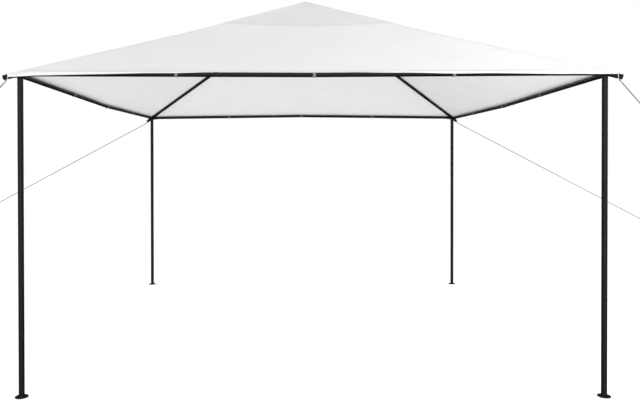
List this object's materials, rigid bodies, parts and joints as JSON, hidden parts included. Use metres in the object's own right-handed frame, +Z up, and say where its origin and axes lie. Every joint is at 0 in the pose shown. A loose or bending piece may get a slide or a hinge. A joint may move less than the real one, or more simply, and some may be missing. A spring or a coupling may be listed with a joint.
{
  "type": "party tent",
  "caption": "Open-sided square garden party tent: a dark tube frame on four posts under a pale pyramid canopy, with guy stays from the corners to ground stakes.",
  "frame": {"origin": "on the ground, in the middle of the square between the four posts", "axes": "+X to the right along the front side, +Y from the front side to the back side, +Z up"},
  "size_m": [10.6638, 4.1826, 3.2343],
  "materials": {
    "frame_steel": "black powder-coated steel tube",
    "cap_plastic": "matte black moulded plastic",
    "canopy_cloth": "white coated polyester cloth",
    "stay_rope": "grey laid rope",
    "stake_zinc": "zinc-plated steel rod"
  },
  "bodies": {
    "root": {"foot_plate_front_left": "frame_steel", "post_front_left": "frame_steel", "corner_connector_front_left": "frame_steel", "end_cap_front_left": "cap_plastic", "hip_rafter_lower_front_left": "frame_steel", "hip_rafter_upper_front_left": "frame_steel", "guy_stay_front_left": "stay_rope", "foot_plate_front_right": "frame_steel", "post_front_right": "frame_steel", "corner_connector_front_right": "frame_steel", "end_cap_front_right": "cap_plastic", "hip_rafter_lower_front_right": "frame_steel", "hip_rafter_upper_front_right": "frame_steel", "guy_stay_front_right": "stay_rope", "foot_plate_back_right": "frame_steel", "post_back_right": "frame_steel", "corner_connector_back_right": "frame_steel", "end_cap_back_right": "cap_plastic", "hip_rafter_lower_back_right": "frame_steel", "hip_rafter_upper_back_right": "frame_steel", "guy_stay_back_right": "stay_rope", "foot_plate_back_left": "frame_steel", "post_back_left": "frame_steel", "corner_connector_back_left": "frame_steel", "end_cap_back_left": "cap_plastic", "hip_rafter_lower_back_left": "frame_steel", "hip_rafter_upper_back_left": "frame_steel", "guy_stay_back_left": "stay_rope", "eave_rail_front_left": "frame_steel", "eave_rail_front_right": "frame_steel", "canopy_panel_front": "canopy_cloth", "eave_rail_right_front": "frame_steel", "eave_rail_right_back": "frame_steel", "canopy_panel_right": "canopy_cloth", "eave_rail_back_right": "frame_steel", "eave_rail_back_left": "frame_steel", "canopy_panel_back": "canopy_cloth", "eave_rail_left_back": "frame_steel", "eave_rail_left_front": "frame_steel", "canopy_panel_left": "canopy_cloth", "peak_hub": "frame_steel", "peak_patch": "canopy_cloth", "ground_stake_left": "stake_zinc", "ground_stake_right": "stake_zinc"}
  },
  "joints": []
}
